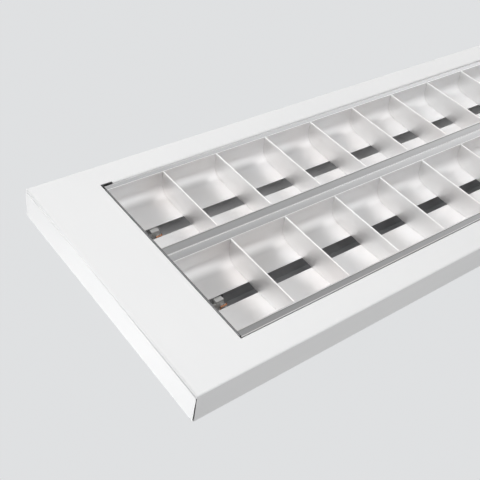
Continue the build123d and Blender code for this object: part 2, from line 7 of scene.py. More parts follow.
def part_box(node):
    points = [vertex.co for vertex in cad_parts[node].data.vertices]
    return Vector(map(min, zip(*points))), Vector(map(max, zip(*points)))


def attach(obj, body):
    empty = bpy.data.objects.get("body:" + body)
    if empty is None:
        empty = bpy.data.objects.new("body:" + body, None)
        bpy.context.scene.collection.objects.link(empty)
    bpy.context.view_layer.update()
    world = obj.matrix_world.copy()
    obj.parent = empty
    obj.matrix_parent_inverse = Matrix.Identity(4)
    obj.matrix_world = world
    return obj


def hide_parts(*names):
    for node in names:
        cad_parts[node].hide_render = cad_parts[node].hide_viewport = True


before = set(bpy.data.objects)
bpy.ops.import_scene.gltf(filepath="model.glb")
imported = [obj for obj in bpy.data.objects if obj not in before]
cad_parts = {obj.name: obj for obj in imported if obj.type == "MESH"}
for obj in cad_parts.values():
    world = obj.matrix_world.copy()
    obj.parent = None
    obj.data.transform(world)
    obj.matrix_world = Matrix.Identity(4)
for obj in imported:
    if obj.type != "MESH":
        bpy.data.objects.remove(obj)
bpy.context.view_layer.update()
mm = 0.001
ends = (1, -1)
sides = (1, -1)
print("frame loaded")


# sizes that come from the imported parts

bands = {"outer": 7.95 * mm, "inner": 11.35 * mm}  # flat width from a rim to the skirt or the middle


def readSizes():
    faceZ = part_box("front_frame")[0].z
    outerLow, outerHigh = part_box("hinge_row_outer_reflector")
    innerLow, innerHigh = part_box("hinge_row_inner_reflector")
    bladeLow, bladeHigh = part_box("cross_blade_01")
    rimHalf = (outerHigh.y - bands["outer"] - bands["inner"]) / 2
    rowCentre = bands["inner"] + rimHalf
    return {
        "faceZ": faceZ,
        "louvreHalfWidth": outerHigh.y,
        "louvreHalfLength": outerHigh.x,
        "rimHalf": rimHalf,
        "rowCentre": rowCentre,
        "outerSlotEdge": outerLow.y - rowCentre,
        "innerSlotEdge": rowCentre - innerHigh.y,
        "skirtGap": innerLow.y,
        "bladePitch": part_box("cross_blade_02")[0].x - bladeLow.x,
        "firstBlade": (bladeLow.x + bladeHigh.x) / 2,
        "bladeBaseHalf": (bladeHigh.x - bladeLow.x) / 2,
        "bladeDepth": bladeHigh.z - bladeLow.z,
        "bladeReach": bladeHigh.y,
        "reflectorTop": outerHigh.z - faceZ,
    }


sizes = readSizes()


# small helpers for meshes and objects

mergeWithin = {"packed": 0.002 * mm, "swept": 0.001 * mm, "blade": 0.0001 * mm}  # closer points join
sharpFrom = {"sheet": 32, "blade": 35, "head": 35}  # degrees: an edge that turns less is shaded smoothly


def newObject(name, mesh):
    piece = bpy.data.objects.new(name, mesh)
    bpy.context.scene.collection.objects.link(piece)
    return piece


def meshFrom(name, points, faces):
    mesh = bpy.data.meshes.new(name)
    mesh.from_pydata(points, [], faces)
    mesh.update()
    return mesh


def meshOf(name, shape):
    # a finished bmesh as a plain mesh
    mesh = bpy.data.meshes.new(name)
    shape.to_mesh(mesh)
    shape.free()
    return mesh


def cleanNormals(mesh):
    shape = bmesh.new()
    shape.from_mesh(mesh)
    bmesh.ops.remove_doubles(shape, verts=shape.verts, dist=mergeWithin["swept"])
    bmesh.ops.recalc_face_normals(shape, faces=shape.faces)
    shape.to_mesh(mesh)
    shape.free()


def arc(centreU, centreV, radius, start, end, steps):
    # points round a centre, from one angle to another in degrees
    angles = [math.radians(start + (end - start) * step / steps) for step in range(steps + 1)]
    return [(centreU + radius * math.cos(a), centreV + radius * math.sin(a)) for a in angles]


def sweptMesh(name, outline, place, low, high, steps=1):
    # a closed outline carried from low to high, set out in space by place(along, u, v)
    count = len(outline)
    points = []
    for step in range(steps + 1):
        points += [place(low + (high - low) * step / steps, u, v) for u, v in outline]
    faces = []
    for start in range(0, steps * count, count):
        for index in range(count):
            after = (index + 1) % count
            faces.append((start + index, start + after, start + count + after, start + count + index))
    faces += [tuple(range(count)), tuple(range(steps * count, (steps + 1) * count))]
    mesh = meshFrom(name, points, faces)
    cleanNormals(mesh)
    return mesh


def roundedBlock(name, low, high, bevel, segments=3):
    # a block with rounded edges between two corners
    shape = bmesh.new()
    bmesh.ops.create_cube(shape, size=1.0)
    for vert in shape.verts:
        vert.co = Vector(low[i] + (high[i] - low[i]) * (vert.co[i] + 0.5) for i in range(3))
    bmesh.ops.bevel(shape, geom=list(shape.edges), offset=bevel, segments=segments, profile=0.5,
                    affect="EDGES")
    bmesh.ops.recalc_face_normals(shape, faces=shape.faces)
    return meshOf(name, shape)


def weldedMesh(node):
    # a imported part's shape, welded so that bends and rounds can shade smoothly
    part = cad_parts[node]
    mesh = part.data.copy()
    mesh.transform(part.matrix_world)
    shape = bmesh.new()
    shape.from_mesh(mesh)
    bpy.data.meshes.remove(mesh)
    bmesh.ops.remove_doubles(shape, verts=shape.verts, dist=mergeWithin["packed"])
    bmesh.ops.recalc_face_normals(shape, faces=shape.faces)
    return meshOf(node, shape)


def addShells(piece, meshes, finish=0):
    # more closed shells in the piece's mesh, in its first finish or in its second
    shape = bmesh.new()
    shape.from_mesh(piece.data)
    for mesh in meshes:
        mesh.polygons.foreach_set("material_index", [finish] * len(mesh.polygons))
        shape.from_mesh(mesh)
    shape.to_mesh(piece.data)
    shape.free()


def bake(piece):
    # the evaluated result as a plain mesh, with the modifiers gone
    graph = bpy.context.evaluated_depsgraph_get()
    mesh = bpy.data.meshes.new_from_object(piece.evaluated_get(graph))
    piece.modifiers.clear()
    piece.data = mesh


def cutAway(piece, mesh):
    cutter = newObject("cutter", mesh)
    cut = piece.modifiers.new("cut", "BOOLEAN")
    cut.operation = "DIFFERENCE"
    cut.solver = "EXACT"
    cut.object = cutter
    bake(piece)
    bpy.data.objects.remove(cutter)


def shadeByAngle(mesh, degrees):
    mesh.polygons.foreach_set("use_smooth", [True] * len(mesh.polygons))
    mesh.set_sharp_from_angle(angle=math.radians(degrees))


def evenShading(piece):
    # large flat faces keep their own direction beside small bends
    shadeByAngle(piece.data, sharpFrom["sheet"])
    even = piece.modifiers.new("evenShading", "WEIGHTED_NORMAL")
    even.keep_sharp = True
    bake(piece)


def dress(piece, finish, body, slot, *nodes):
    # one finish, or two for a mesh that uses both, and what the piece stands for
    piece.data.materials.clear()
    for name in (finish,) if isinstance(finish, str) else finish:
        piece.data.materials.append(materials[name])
    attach(piece, body)
    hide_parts(*nodes)


# node trees

geometryInput = ("Geometry", "NodeSocketGeometry", None)
geometryOutput = ("Geometry", "NodeSocketGeometry")


def startTree(kind, name, inputs, outputs):
    # an empty tree with named inputs and outputs, and the two ends to wire up
    tree = bpy.data.node_groups.new(name, kind)
    for label, socketKind, value in inputs:
        socket = tree.interface.new_socket(name=label, in_out="INPUT", socket_type=socketKind)
        if value is not None:
            socket.default_value = value
    for label, socketKind in outputs:
        tree.interface.new_socket(name=label, in_out="OUTPUT", socket_type=socketKind)
    return tree, tree.nodes.new("NodeGroupInput"), tree.nodes.new("NodeGroupOutput")


def feed(tree, node, values):
    # each input gets a link from another node's output, or else a plain value
    for label, value in values.items():
        if isinstance(value, bpy.types.NodeSocket):
            tree.links.new(value, node.inputs[label])
        else:
            node.inputs[label].default_value = value


def addNode(tree, kind, values, **settings):
    node = tree.nodes.new(kind)
    for name, setting in settings.items():
        setattr(node, name, setting)
    feed(tree, node, values)
    return node


def placeGroup(tree, group, values):
    return addNode(tree, "ShaderNodeGroup", values, node_tree=group)


def remap(tree, value, fromRange, toRange, **settings):
    labels = ("Value", "From Min", "From Max", "To Min", "To Max")
    values = dict(zip(labels, (value, *fromRange, *toRange)))
    return addNode(tree, "ShaderNodeMapRange", values, **settings).outputs["Result"]


def objectPlace(tree):
    return tree.nodes.new("ShaderNodeTexCoord").outputs["Object"]


def pieceMask(tree, name):
    # a mask that the piece's mesh carries, 0 where it has none
    return addNode(tree, "ShaderNodeAttribute", {}, attribute_name=name).outputs["Fac"]


def mixColours(tree, mask, first, second):
    # the first where the mask is 0 and the second where it is 1, each a colour or a node's output
    pair = [c if isinstance(c, bpy.types.NodeSocket) else (*c, 1) for c in (first, second)]
    values = {"Factor": mask, "A": pair[0], "B": pair[1]}
    return addNode(tree, "ShaderNodeMix", values, data_type="RGBA").outputs["Result"]


def bump(tree, height, distance, under=None):
    # relief of the given depth, over another bump where there is one
    values = {"Height": height, "Distance": distance, "Strength": 1.0}
    if under is not None:
        values["Normal"] = under
    return addNode(tree, "ShaderNodeBump", values).outputs["Normal"]


# node groups shared by the materials

def makeGrainGroup():
    # noise stretched along the rolling direction, for rolled and brushed metal
    group, given, result = startTree(
        "ShaderNodeTree", "rollingGrain",
        [("Stretch", "NodeSocketVector", (6.0, 900.0, 900.0)), ("Low", "NodeSocketFloat", 0.2),
         ("High", "NodeSocketFloat", 0.3)],
        [("Roughness", "NodeSocketFloat"), ("Height", "NodeSocketFloat")],
    )
    scaled = addNode(group, "ShaderNodeVectorMath", {0: objectPlace(group), 1: given.outputs["Stretch"]},
                     operation="MULTIPLY")
    noise = addNode(group, "ShaderNodeTexNoise", {
        "Vector": scaled.outputs[0], "Scale": 1.0, "Detail": 3.0, "Roughness": 0.6,
    }).outputs["Fac"]
    rough = remap(group, noise, (0.3, 0.7), (given.outputs["Low"], given.outputs["High"]))
    feed(group, result, {"Roughness": rough, "Height": noise})
    return group


def makePatchGroup():
    # soft, cloudy patches with a chosen size, for tints, uneven gloss and gentle waves
    group, given, result = startTree(
        "ShaderNodeTree", "softPatches",
        [("Size", "NodeSocketFloat", 8.0), ("Low", "NodeSocketFloat", 0.45),
         ("High", "NodeSocketFloat", 0.65)],
        [("Mask", "NodeSocketFloat")],
    )
    noise = addNode(group, "ShaderNodeTexNoise", {
        "Vector": objectPlace(group), "Scale": given.outputs["Size"], "Detail": 3.0, "Roughness": 0.55,
    }).outputs["Fac"]
    feed(group, result, {"Mask": remap(group, noise, (given.outputs["Low"], given.outputs["High"]), (0, 1))})
    return group


def makePeelGroup():
    # the fine orange peel of powder coat or moulded skin
    group, given, result = startTree(
        "ShaderNodeTree", "finePeel", [("Scale", "NodeSocketFloat", 600.0)], [("Height", "NodeSocketFloat")]
    )
    noise = addNode(group, "ShaderNodeTexNoise", {
        "Vector": objectPlace(group), "Scale": given.outputs["Scale"], "Detail": 2.0, "Roughness": 0.4,
    }).outputs["Fac"]
    feed(group, result, {"Height": noise})
    return group


grainGroup = makeGrainGroup()
patchGroup = makePatchGroup()
peelGroup = makePeelGroup()


# finishes

patchRange = (0.4, 0.7)  # the noise at which a finish's patches begin, and where they are full
paintSkin = {"peelScale": 900.0, "peelHeight": 0.03 * mm}
plasticSkin = {"patchSize": 60.0, "peelScale": 1500.0, "peelHeight": 0.02 * mm, "specular": 0.5}
finishes = {
    # the white paint's darker inside colour is painted shade for the housing's dim inside
    "whitePaint": {**paintSkin, "colour": (0.90, 0.90, 0.90), "patchColour": (0.875, 0.878, 0.882),
                   "patchSize": 4.0, "roughness": (0.38, 0.46), "specular": 0.45,
                   "inside": (0.86, 0.86, 0.865)},
    # the gear cover's grey is painted shade: the cover is white paint, greyed for the dim inside of the
    # housing
    "innerPaint": {**paintSkin, "colour": (0.36, 0.36, 0.37), "patchColour": (0.30, 0.30, 0.31),
                   "patchSize": 5.0, "roughness": (0.5, 0.6), "specular": 0.4},
    "gearPaint": {**paintSkin, "colour": (0.74, 0.75, 0.77), "patchColour": (0.68, 0.69, 0.71),
                  "patchSize": 20.0, "roughness": (0.35, 0.45), "specular": 0.5},
    "holderPlastic": {**plasticSkin, "colour": (0.88, 0.87, 0.86), "patchColour": (0.84, 0.83, 0.81),
                      "roughness": (0.25, 0.34)},
    # lampholder bodies: white plastic painted grey as shade; only the tip block keeps the plastic's white
    "holderBody": {**plasticSkin, "colour": (0.50, 0.50, 0.49), "patchColour": (0.46, 0.46, 0.45),
                   "roughness": (0.3, 0.4)},
    "rotorPlastic": {**plasticSkin, "colour": (0.55, 0.55, 0.54), "patchColour": (0.50, 0.50, 0.48),
                     "roughness": (0.3, 0.4)},
    "terminalPlastic": {**plasticSkin, "colour": (0.78, 0.78, 0.76), "patchColour": (0.72, 0.72, 0.70),
                        "roughness": (0.4, 0.5)},
    "grommetRubber": {"colour": (0.035, 0.035, 0.037), "patchColour": (0.06, 0.06, 0.06), "patchSize": 90.0,
                      "roughness": (0.6, 0.75), "peelScale": 2200.0, "peelHeight": 0.03 * mm,
                      "specular": 0.4},
    # the copper is darkened as painted shade, for contacts that sit in the lampholder's shade
    "copper": {"colour": (0.66, 0.33, 0.20), "patchColour": (0.52, 0.25, 0.15), "patchSize": 180.0,
               "stretch": (900.0, 900.0, 60.0), "roughness": (0.22, 0.38), "grainHeight": 0.01 * mm},
    "brass": {"colour": (0.80, 0.62, 0.30), "patchColour": (0.70, 0.52, 0.25), "patchSize": 180.0,
              "stretch": (500.0, 500.0, 3000.0), "roughness": (0.25, 0.4), "grainHeight": 0.01 * mm},
    "zincSteel": {"colour": (0.66, 0.67, 0.69), "patchColour": (0.56, 0.58, 0.60), "patchSize": 160.0,
                  "stretch": (300.0, 900.0, 900.0), "roughness": (0.28, 0.42), "grainHeight": 0.02 * mm},
    "rivetMetal": {"colour": (0.80, 0.80, 0.80), "patchColour": (0.74, 0.74, 0.74), "patchSize": 200.0,
                   "stretch": (700.0, 700.0, 700.0), "roughness": (0.3, 0.4), "grainHeight": 0.004 * mm},
    # the end plates' dark grey is painted shade on the louvre's aluminium
    "endPlateMetal": {"colour": (0.30, 0.30, 0.31), "patchColour": (0.25, 0.25, 0.26), "patchSize": 12.0,
                      "stretch": (900.0, 8.0, 900.0), "roughness": (0.20, 0.26), "grainHeight": 0.002 * mm},
    # the blades' faint warm patches, laid out at random, are a painted warm reflection
    "bladeMetal": {"colour": (0.93, 0.925, 0.92), "patchColour": (0.92, 0.895, 0.885), "patchSize": 9.0,
                   "stretch": (900.0, 7.0, 900.0), "roughness": (0.54, 0.62), "grainHeight": 0.002 * mm},
}
# the louvre's warm patches are a painted warm reflection, and its darker band colour is a painted dark
# reflection of dim surroundings
louvreLook = {"colour": (0.90, 0.90, 0.905), "tint": (0.86, 0.848, 0.842), "tintSize": 11.0,
              "tintRange": (0.45, 0.7), "band": (0.50, 0.50, 0.505), "bandRoughness": 0.36,
              "stretch": (5.0, 900.0, 900.0), "roughness": (0.34, 0.40), "grainHeight": 0.002 * mm,
              "waveSize": 14.0, "waveRange": (0.2, 0.8), "waveHeight": 0.22 * mm}


def startMaterial(name):
    material = bpy.data.materials.new(name)
    material.use_nodes = True
    tree = material.node_tree
    return material, tree, tree.nodes["Principled BSDF"]


def patchMask(tree, size, span):
    return placeGroup(tree, patchGroup, {"Size": size, "Low": span[0], "High": span[1]}).outputs["Mask"]


def rollingGrain(tree, look):
    # roughness and height of the grain
    low, high = look["roughness"]
    grain = placeGroup(tree, grainGroup, {"Stretch": look["stretch"], "Low": low, "High": high})
    return grain.outputs["Roughness"], grain.outputs["Height"]


def paintedOrMoulded(name, look):
    # a smooth coated or moulded surface, with peel, faint patches and a varying gloss
    material, tree, shader = startMaterial(name)
    patches = patchMask(tree, look["patchSize"], patchRange)
    colour = mixColours(tree, patches, look["colour"], look["patchColour"])
    # inner faces take the darker inside colour, as painted shade
    if "inside" in look:
        colour = mixColours(tree, pieceMask(tree, "inside"), colour, look["inside"])
    peel = placeGroup(tree, peelGroup, {"Scale": look["peelScale"]}).outputs["Height"]
    feed(tree, shader, {
        "Base Color": colour, "Roughness": remap(tree, patches, (0, 1), look["roughness"]),
        "Specular IOR Level": look["specular"], "Normal": bump(tree, peel, look["peelHeight"]),
    })
    return material


def rolledMetal(name, look):
    # a metal with a grain and cloudy tints
    material, tree, shader = startMaterial(name)
    patches = patchMask(tree, look["patchSize"], patchRange)
    rough, height = rollingGrain(tree, look)
    feed(tree, shader, {
        "Base Color": mixColours(tree, patches, look["colour"], look["patchColour"]), "Metallic": 1.0,
        "Roughness": rough, "Normal": bump(tree, height, look["grainHeight"]),
    })
    return material


def louvreMetal():
    # satin strip: bright, gently waved walls with faint warm patches laid out at random as a painted warm
    # reflection, and the flat flange band in darker grey as a painted dark reflection
    look = louvreLook
    material, tree, shader = startMaterial("louvreStrip")
    warmReflectionMask = patchMask(tree, look["tintSize"], look["tintRange"])
    wall = mixColours(tree, warmReflectionMask, look["colour"], look["tint"])
    band = pieceMask(tree, "band")
    grain, height = rollingGrain(tree, look)
    rough = addNode(tree, "ShaderNodeMix", {"Factor": band, "A": grain, "B": look["bandRoughness"]})
    waves = patchMask(tree, look["waveSize"], look["waveRange"])
    feed(tree, shader, {
        "Base Color": mixColours(tree, band, wall, look["band"]), "Metallic": 1.0,
        "Roughness": rough.outputs["Result"],
        "Normal": bump(tree, waves, look["waveHeight"], bump(tree, height, look["grainHeight"])),
    })
    return material


materials = {"louvreStrip": louvreMetal()}
for finishName, look in finishes.items():
    maker = rolledMetal if "stretch" in look else paintedOrMoulded
    materials[finishName] = maker(finishName, look)
print("materials made")


# the louvre's side reflectors, swept along the lamps from one smooth curve

reflector = {"sheet": 0.5 * mm, "lean": 5.5, "haunchRadius": 15 * mm, "roofLean": 2.6, "hem": 1.1 * mm,
             "hemCorner": 0.275 * mm, "recess": 1.0 * mm, "skirtTop": 8 * mm, "skirtBend": 0.9 * mm,
             "wallSteps": 4, "haunchSteps": 24, "bendSteps": 6, "lengthSteps": 34}


def roofMiddle():
    # the height at which the two roofs of a row would meet
    roof = math.radians(reflector["roofLean"])
    roofEdge = sizes["reflectorTop"] - reflector["sheet"] / math.cos(roof)
    return roofEdge + sizes["outerSlotEdge"] * math.tan(roof)


def haunchCurve(outset):
    # the section from the rim up to the row's middle, as distance from that middle and height
    wall = math.radians(reflector["lean"])
    roof = math.radians(reflector["roofLean"])
    reach = sizes["rimHalf"] + outset / math.cos(wall)
    roofCentre = roofMiddle() + outset / math.cos(roof)
    cornerHeight = (roofCentre - reach * math.tan(roof)) / (1 - math.tan(wall) * math.tan(roof))
    cornerReach = reach - cornerHeight * math.tan(wall)
    radius = reflector["haunchRadius"] + outset
    tangent = radius * math.tan((math.pi / 2 - wall - roof) / 2)
    startX = cornerReach + tangent * math.sin(wall)
    startY = cornerHeight - tangent * math.cos(wall)
    shares = [step / reflector["wallSteps"] for step in range(reflector["wallSteps"])]
    points = [(reach + (startX - reach) * share, startY * share) for share in shares]
    points += arc(startX - radius * math.cos(wall), startY - radius * math.sin(wall), radius,
                  reflector["lean"], 90 - reflector["roofLean"], reflector["haunchSteps"])
    points.append((0.0, roofCentre))
    return points


def upToSlot(curve, edge):
    # the curve with its last stretch ended at the slot
    (x0, y0), (x1, y1) = curve[-2], curve[-1]
    share = (x0 - edge) / (x0 - x1)
    return curve[:-1] + [(edge, y0 + (y1 - y0) * share)]


def flangeCurve(band, outset):
    # from the top of the skirt round its bend and along the flat band to the hem
    edge = sizes["rimHalf"] + band
    bend, recess = reflector["skirtBend"], reflector["recess"]
    points = [(edge - outset, reflector["skirtTop"])]
    points += arc(edge - bend, recess + bend, bend - outset, 0, -90, reflector["bendSteps"])
    points.append((sizes["rimHalf"] + reflector["hem"], recess + outset))
    return points


def stripOutline(band, slotEdge):
    # one closed outline: flange below, hem, curved wall, slot edge, and back along the outside
    sheet = reflector["sheet"]
    hem = reflector["hem"]
    rim = sizes["rimHalf"]
    lowFlange = flangeCurve(band, 0.0)
    highFlange = flangeCurve(band, sheet)
    inner = upToSlot(haunchCurve(0.0), slotEdge)
    outer = upToSlot(haunchCurve(sheet), slotEdge)
    soft = reflector["hemCorner"]
    outline = lowFlange + [(rim + hem, soft), (rim + hem - soft, 0.0), (rim + soft, 0.0)]
    outline += [(inner[0][0] - soft * math.tan(math.radians(reflector["lean"])), soft)] + inner[1:]
    outline += outer[:0:-1] + [(outer[0][0], reflector["recess"] + sheet)] + highFlange[-2::-1]
    bandPoints = (len(lowFlange) - 2, len(lowFlange) - 1)  # where the flat band starts and ends
    return outline, bandPoints


def makeReflector(name, node, row, outward):
    if outward:
        outline, bandPoints = stripOutline(bands["outer"], sizes["outerSlotEdge"])
    else:
        outline, bandPoints = stripOutline(bands["inner"] - sizes["skirtGap"], sizes["innerSlotEdge"])
    way = row if outward else -row
    centre = row * sizes["rowCentre"]
    half = sizes["louvreHalfLength"]
    mesh = sweptMesh(name, outline, lambda x, u, v: (x, centre + way * u, sizes["faceZ"] + v),
                     -half, half, reflector["lengthSteps"])
    # the flat band's points carry a mask where the metal is painted darker, as a dark reflection
    flags = [float(point % len(outline) in bandPoints) for point in range(len(mesh.vertices))]
    mesh.attributes.new("band", "FLOAT", "POINT").data.foreach_set("value", flags)
    shadeByAngle(mesh, sharpFrom["sheet"])
    dress(newObject(name, mesh), "louvreStrip", "louvre", "louvre_aluminium", node)


for rowName, row in (("hinge", 1), ("latch", -1)):
    makeReflector(rowName + "OuterStrip", rowName + "_row_outer_reflector", row, True)
    makeReflector(rowName + "InnerStrip", rowName + "_row_inner_reflector", row, False)
print("reflectors made")


# the folded cross blades, one modelled and the rest set out by a geometry node tree

blade = {"sheet": 0.5 * mm, "noseHalf": 0.9 * mm, "noseSteps": 6, "clearance": 0.15 * mm, "columns": 8,
         "bridgeLow": 9.5 * mm, "bridgeHigh": 16.5 * mm, "wallLevels": 6, "tipGap": 0.02 * mm}


def bladeHalfWidth(height):
    # how far a blade reaches from the row's middle at a height, following the reflector
    curve = haunchCurve(-blade["clearance"])
    for (x0, y0), (x1, y1) in zip(curve, curve[1:]):
        if y0 <= height <= y1:
            return x0 + (x1 - x0) * (height - y0) / (y1 - y0)
    return curve[0][0]


def bladeLeg(height):
    # half the blade's thickness at a height
    share = (height - blade["noseHalf"]) / (sizes["bladeDepth"] - blade["noseHalf"])
    return blade["noseHalf"] + (sizes["bladeBaseHalf"] - blade["noseHalf"]) * share


def bladeLevels():
    # heights across the wall, then those of the haunch and the roof, which the blade's base follows
    curve = haunchCurve(-blade["clearance"])
    haunch = curve[reflector["wallSteps"]:-1]
    wallTop = haunch[0][1]
    levels = {blade["noseHalf"], blade["bridgeLow"], blade["bridgeHigh"], curve[-1][1] - blade["tipGap"]}
    for step in range(1, blade["wallLevels"]):
        levels.add(blade["noseHalf"] + (wallTop - blade["noseHalf"]) * step / blade["wallLevels"])
    levels.update(height for distance, height in haunch)
    return sorted(levels)


def addCellSheet(shape, levels, row):
    # the V across one row: down one leg, round the nose and up the other
    section = [(bladeLeg(height), height) for height in reversed(levels)]
    section += arc(0, blade["noseHalf"], blade["noseHalf"], 0, -180, blade["noseSteps"])[1:-1]
    section += [(-bladeLeg(height), height) for height in levels]
    grid = []
    for x, height in section:
        half = bladeHalfWidth(height)
        across = [row * sizes["rowCentre"] + half * (2 * column / blade["columns"] - 1)
                  for column in range(blade["columns"] + 1)]
        grid.append([shape.verts.new((x, y, sizes["faceZ"] + height)) for y in across])
    for upper, lower in zip(grid, grid[1:]):
        for c in range(blade["columns"]):
            shape.faces.new((upper[c], upper[c + 1], lower[c + 1], lower[c]))


def addBridges(shape, levels, leg):
    # the leg's sheet under the divider, and its tabs through the outer strips
    reach, centre = sizes["bladeReach"], sizes["rowCentre"]
    heights = [height for height in levels if blade["bridgeLow"] <= height <= blade["bridgeHigh"]]
    for below, above in zip(heights, heights[1:]):
        low, high = bladeHalfWidth(below), bladeHalfWidth(above)
        spans = [((-reach, -reach), (-centre - low, -centre - high)),
                 ((-centre + low, -centre + high), (centre - low, centre - high)),
                 ((centre + low, centre + high), (reach, reach))]
        for (startLow, startHigh), (endLow, endHigh) in spans:
            corners = [(startLow, below), (endLow, below), (endHigh, above), (startHigh, above)]
            shape.faces.new([shape.verts.new((leg * bladeLeg(height), y, sizes["faceZ"] + height))
                             for y, height in corners])


def bladeMesh():
    # a V of thin sheet across both rows, open at its base
    shape = bmesh.new()
    levels = bladeLevels()
    for row in sides:
        addCellSheet(shape, levels, row)
    for leg in sides:
        addBridges(shape, levels, leg)
    bmesh.ops.remove_doubles(shape, verts=shape.verts, dist=mergeWithin["blade"])
    bmesh.ops.recalc_face_normals(shape, faces=shape.faces)
    if sum(f.normal.x * f.calc_center_median().x for f in shape.faces) < 0:
        bmesh.ops.reverse_faces(shape, faces=shape.faces)
    return meshOf("bladeSheet", shape)


def finishTree(tree, given, result, geometry):
    # real geometry in the given material
    realize = addNode(tree, "GeometryNodeRealizeInstances", {0: geometry})
    paint = addNode(tree, "GeometryNodeSetMaterial", {
        "Geometry": realize.outputs[0], "Material": given.outputs["Material"],
    })
    feed(tree, result, {0: paint.outputs["Geometry"]})


def runTree(piece, tree, values):
    modifier = piece.modifiers.new("setOut", "NODES")
    modifier.node_group = tree
    for item in tree.interface.items_tree:
        if item.in_out == "INPUT" and item.name in values:
            modifier[item.identifier] = values[item.name]
    bake(piece)


def rowTree():
    # copies of the given mesh in a straight row along X
    tree, given, result = startTree("GeometryNodeTree", "evenRow", [
        geometryInput, ("Count", "NodeSocketInt", 16), ("First", "NodeSocketFloat", 0.0),
        ("Pitch", "NodeSocketFloat", 0.1), ("Material", "NodeSocketMaterial", None),
    ], [geometryOutput])
    start = addNode(tree, "ShaderNodeCombineXYZ", {"X": given.outputs["First"]})
    step = addNode(tree, "ShaderNodeCombineXYZ", {"X": given.outputs["Pitch"]})
    line = addNode(tree, "GeometryNodeMeshLine", {
        "Count": given.outputs["Count"], "Start Location": start.outputs[0], "Offset": step.outputs[0],
    }, mode="OFFSET")
    copies = addNode(tree, "GeometryNodeInstanceOnPoints", {
        "Points": line.outputs["Mesh"], "Instance": given.outputs["Geometry"],
    })
    finishTree(tree, given, result, copies.outputs["Instances"])
    return tree


def makeBlades():
    nodes = sorted(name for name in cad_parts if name.startswith("cross_blade"))
    piece = newObject("crossBlades", bladeMesh())
    sheet = piece.modifiers.new("sheet", "SOLIDIFY")
    sheet.thickness = blade["sheet"]
    sheet.offset = -1
    sheet.use_even_offset = True
    bake(piece)
    shadeByAngle(piece.data, sharpFrom["blade"])
    runTree(piece, rowTree(), {
        "Count": len(nodes), "First": sizes["firstBlade"], "Pitch": sizes["bladePitch"],
        "Material": materials["bladeMetal"],
    })
    dress(piece, "bladeMetal", "louvre", "louvre_aluminium", *nodes)


makeBlades()
print("blades made")


# the frame, with its latch side flange run on to the window's ends, and the pan

flange = {"sheet": 1.0 * mm, "radius": 2.0 * mm, "edge": 120.75 * mm, "height": 8.0 * mm,
          "cadEnd": 596.3 * mm, "windowEnd": 610.3 * mm, "overlap": 0.5 * mm, "bendSteps": 8}
pan = {"wall": 0.6 * mm}


def makeFrame():
    piece = newObject("frontFrame", weldedMesh("front_frame"))
    edge, radius, sheet, height = flange["edge"], flange["radius"], flange["sheet"], flange["height"]
    outline = arc(edge + radius, radius, radius, 270, 180, flange["bendSteps"])
    outline += [(edge, height), (edge + sheet, height)]
    outline += arc(edge + radius, radius, radius - sheet, 180, 270, flange["bendSteps"])
    addShells(piece, [
        sweptMesh("flangeRun", outline, lambda x, u, v: (x, -u, sizes["faceZ"] + v),
                  end * (flange["cadEnd"] - flange["overlap"]), end * flange["windowEnd"]) for end in ends
    ])
    evenShading(piece)
    dress(piece, "whitePaint", "housing", "white_paint", "front_frame")


def makePan():
    # its inner faces carry a mask, for a slightly darker white there as painted shade on the housing's dim
    # inside
    piece = newObject("backPan", weldedMesh("back_pan"))
    evenShading(piece)
    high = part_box("back_pan")[1]
    flags = []
    for face in piece.data.polygons:
        x, y, z = face.center
        inner = abs(x) < high.x - pan["wall"] and abs(y) < high.y - pan["wall"] and z < high.z - pan["wall"]
        flags.append(float(inner))
    piece.data.attributes.new("inside", "FLOAT", "FACE").data.foreach_set("value", flags)
    dress(piece, "whitePaint", "housing", "white_paint", "back_pan")


makeFrame()
makePan()
print("frame and pan made")


# the louvre's end plates, dark grey as painted shade, with a folded hem along the lower edge in the louvre's
# own bright metal

plateHem = {"reach": 0.85 * mm, "height": 4.2 * mm, "latchSide": -118.4 * mm, "hingeSide": 112.2 * mm,
            "overlap": 0.15 * mm, "foot": 0.05 * mm, "radius": 0.408 * mm, "bendSteps": 6}


def makeEndPlate(number, end):
    node = "end_plate_" + str(number)
    piece = newObject("endPlate" + str(number), weldedMesh(node))
    low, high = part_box(node)
    face = high.x if end > 0 else -low.x
    root = face - plateHem["overlap"]
    height, radius, steps = plateHem["height"], plateHem["radius"], plateHem["bendSteps"]
    outer = face + plateHem["reach"] - radius
    outline = [(root, plateHem["foot"])] + arc(outer, radius, radius, 270, 360, steps)
    outline += arc(outer, height - radius, radius, 0, 90, steps) + [(root, height)]
    hem = sweptMesh("plateHem", outline, lambda y, u, v: (end * u, y, sizes["faceZ"] + v),
                    plateHem["latchSide"], plateHem["hingeSide"])
    addShells(piece, [hem], finish=1)
    evenShading(piece)
    # the plate's dark grey is painted shade, and the hem keeps the louvre's bright metal
    dress(piece, ("endPlateMetal", "bladeMetal"), "louvre", "louvre_aluminium", node)


for number, end in enumerate(ends, 1):
    makeEndPlate(number, end)
print("end plates made")


# lampholders: the half of each tip towards -Y is open to the contact leaf, the other has a white block

holder = {"count": 4, "line": 57.3 * mm, "openTo": 2.6 * mm, "openFrom": -11.0 * mm, "openTop": -23.5 * mm,
          "openBevel": 0.4 * mm, "openBeyond": 1 * mm, "tipLow": -34.4 * mm, "tipTop": -30.9 * mm,
          "tipInset": 3.0 * mm, "tipFar": 8.8 * mm, "tipLength": 9.5 * mm, "tipBevel": 0.7 * mm}
leaf = {"width": 2.0 * mm, "thick": 0.4 * mm, "level": -31.0 * mm, "root": 581.2 * mm, "rootTop": -22.5 * mm,
        "bend": 1.2 * mm, "bendSteps": 5, "tip": 575.8 * mm, "curl": 1.3 * mm, "curlEnd": 230,
        "curlSteps": 12, "offset": -1.9 * mm}


